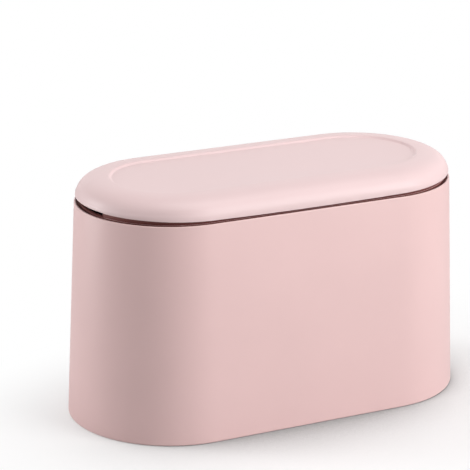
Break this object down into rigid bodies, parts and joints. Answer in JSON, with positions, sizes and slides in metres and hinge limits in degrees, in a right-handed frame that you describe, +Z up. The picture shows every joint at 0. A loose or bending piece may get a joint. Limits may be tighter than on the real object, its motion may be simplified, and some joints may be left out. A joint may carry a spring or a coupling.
{
  "type": "tabletop trash can",
  "caption": "Tabletop trash can, stadium-shaped plastic shell with a lift-out bag ring and a hinged pillow-edged lid that opens with a push latch.",
  "frame": {"origin": "centre of the footprint, on the surface the can stands on", "axes": "+X along the can's length, to the right seen from the front; -Y to the front, where the lid opens; +Z up"},
  "size_m": [0.23, 0.114, 0.1344],
  "materials": {
    "shell_plastic": "satin",
    "steel": "satin",
    "latch_plastic": "satin"
  },
  "bodies": {
    "bin": {"body_shell": "shell_plastic", "base_plate": "shell_plastic"},
    "ring": {"bag_ring": "shell_plastic", "hinge_pin_left": "steel", "hinge_pin_right": "steel", "hinge_spring_left": "steel", "hinge_spring_right": "steel", "latch_case": "latch_plastic", "latch_cam_pin": "steel", "latch_spring": "steel"},
    "lid": {"lid_shell": "shell_plastic", "lid_striker": "shell_plastic", "hinge_spring_leg_left": "steel", "hinge_spring_leg_right": "steel"},
    "slider": {"latch_slider": "latch_plastic", "latch_jaw_pins": "steel"},
    "jaw_left": {"latch_jaw_left": "latch_plastic"},
    "jaw_right": {"latch_jaw_right": "latch_plastic"}
  },
  "joints": [
    {"name": "ring_lift", "type": "slide", "parent": "bin", "child": "ring", "axis": [0, 0, 1], "range_m": [0, 0.04]},
    {"name": "lid_hinge", "type": "hinge", "parent": "ring", "child": "lid", "pos_m": [0, 0.0484, 0.1274], "axis": [-1, 0, 0], "range_deg": [0, 93]},
    {"name": "latch_slide", "type": "slide", "parent": "ring", "child": "slider", "axis": [0, 0, 1], "range_m": [0, 0.0032], "stiffness_N_per_m": 300, "deforming": ["latch_spring"]},
    {"name": "jaw_swing_left", "type": "hinge", "parent": "slider", "child": "jaw_left", "pos_m": [-0.0037, -0.0386, 0.1215], "axis": [0, -1, 0], "range_deg": [0, 22.1]},
    {"name": "jaw_swing_right", "type": "hinge", "parent": "slider", "child": "jaw_right", "pos_m": [0.0037, -0.0386, 0.1215], "axis": [0, 1, 0], "range_deg": [0, 22.1]}
  ]
}
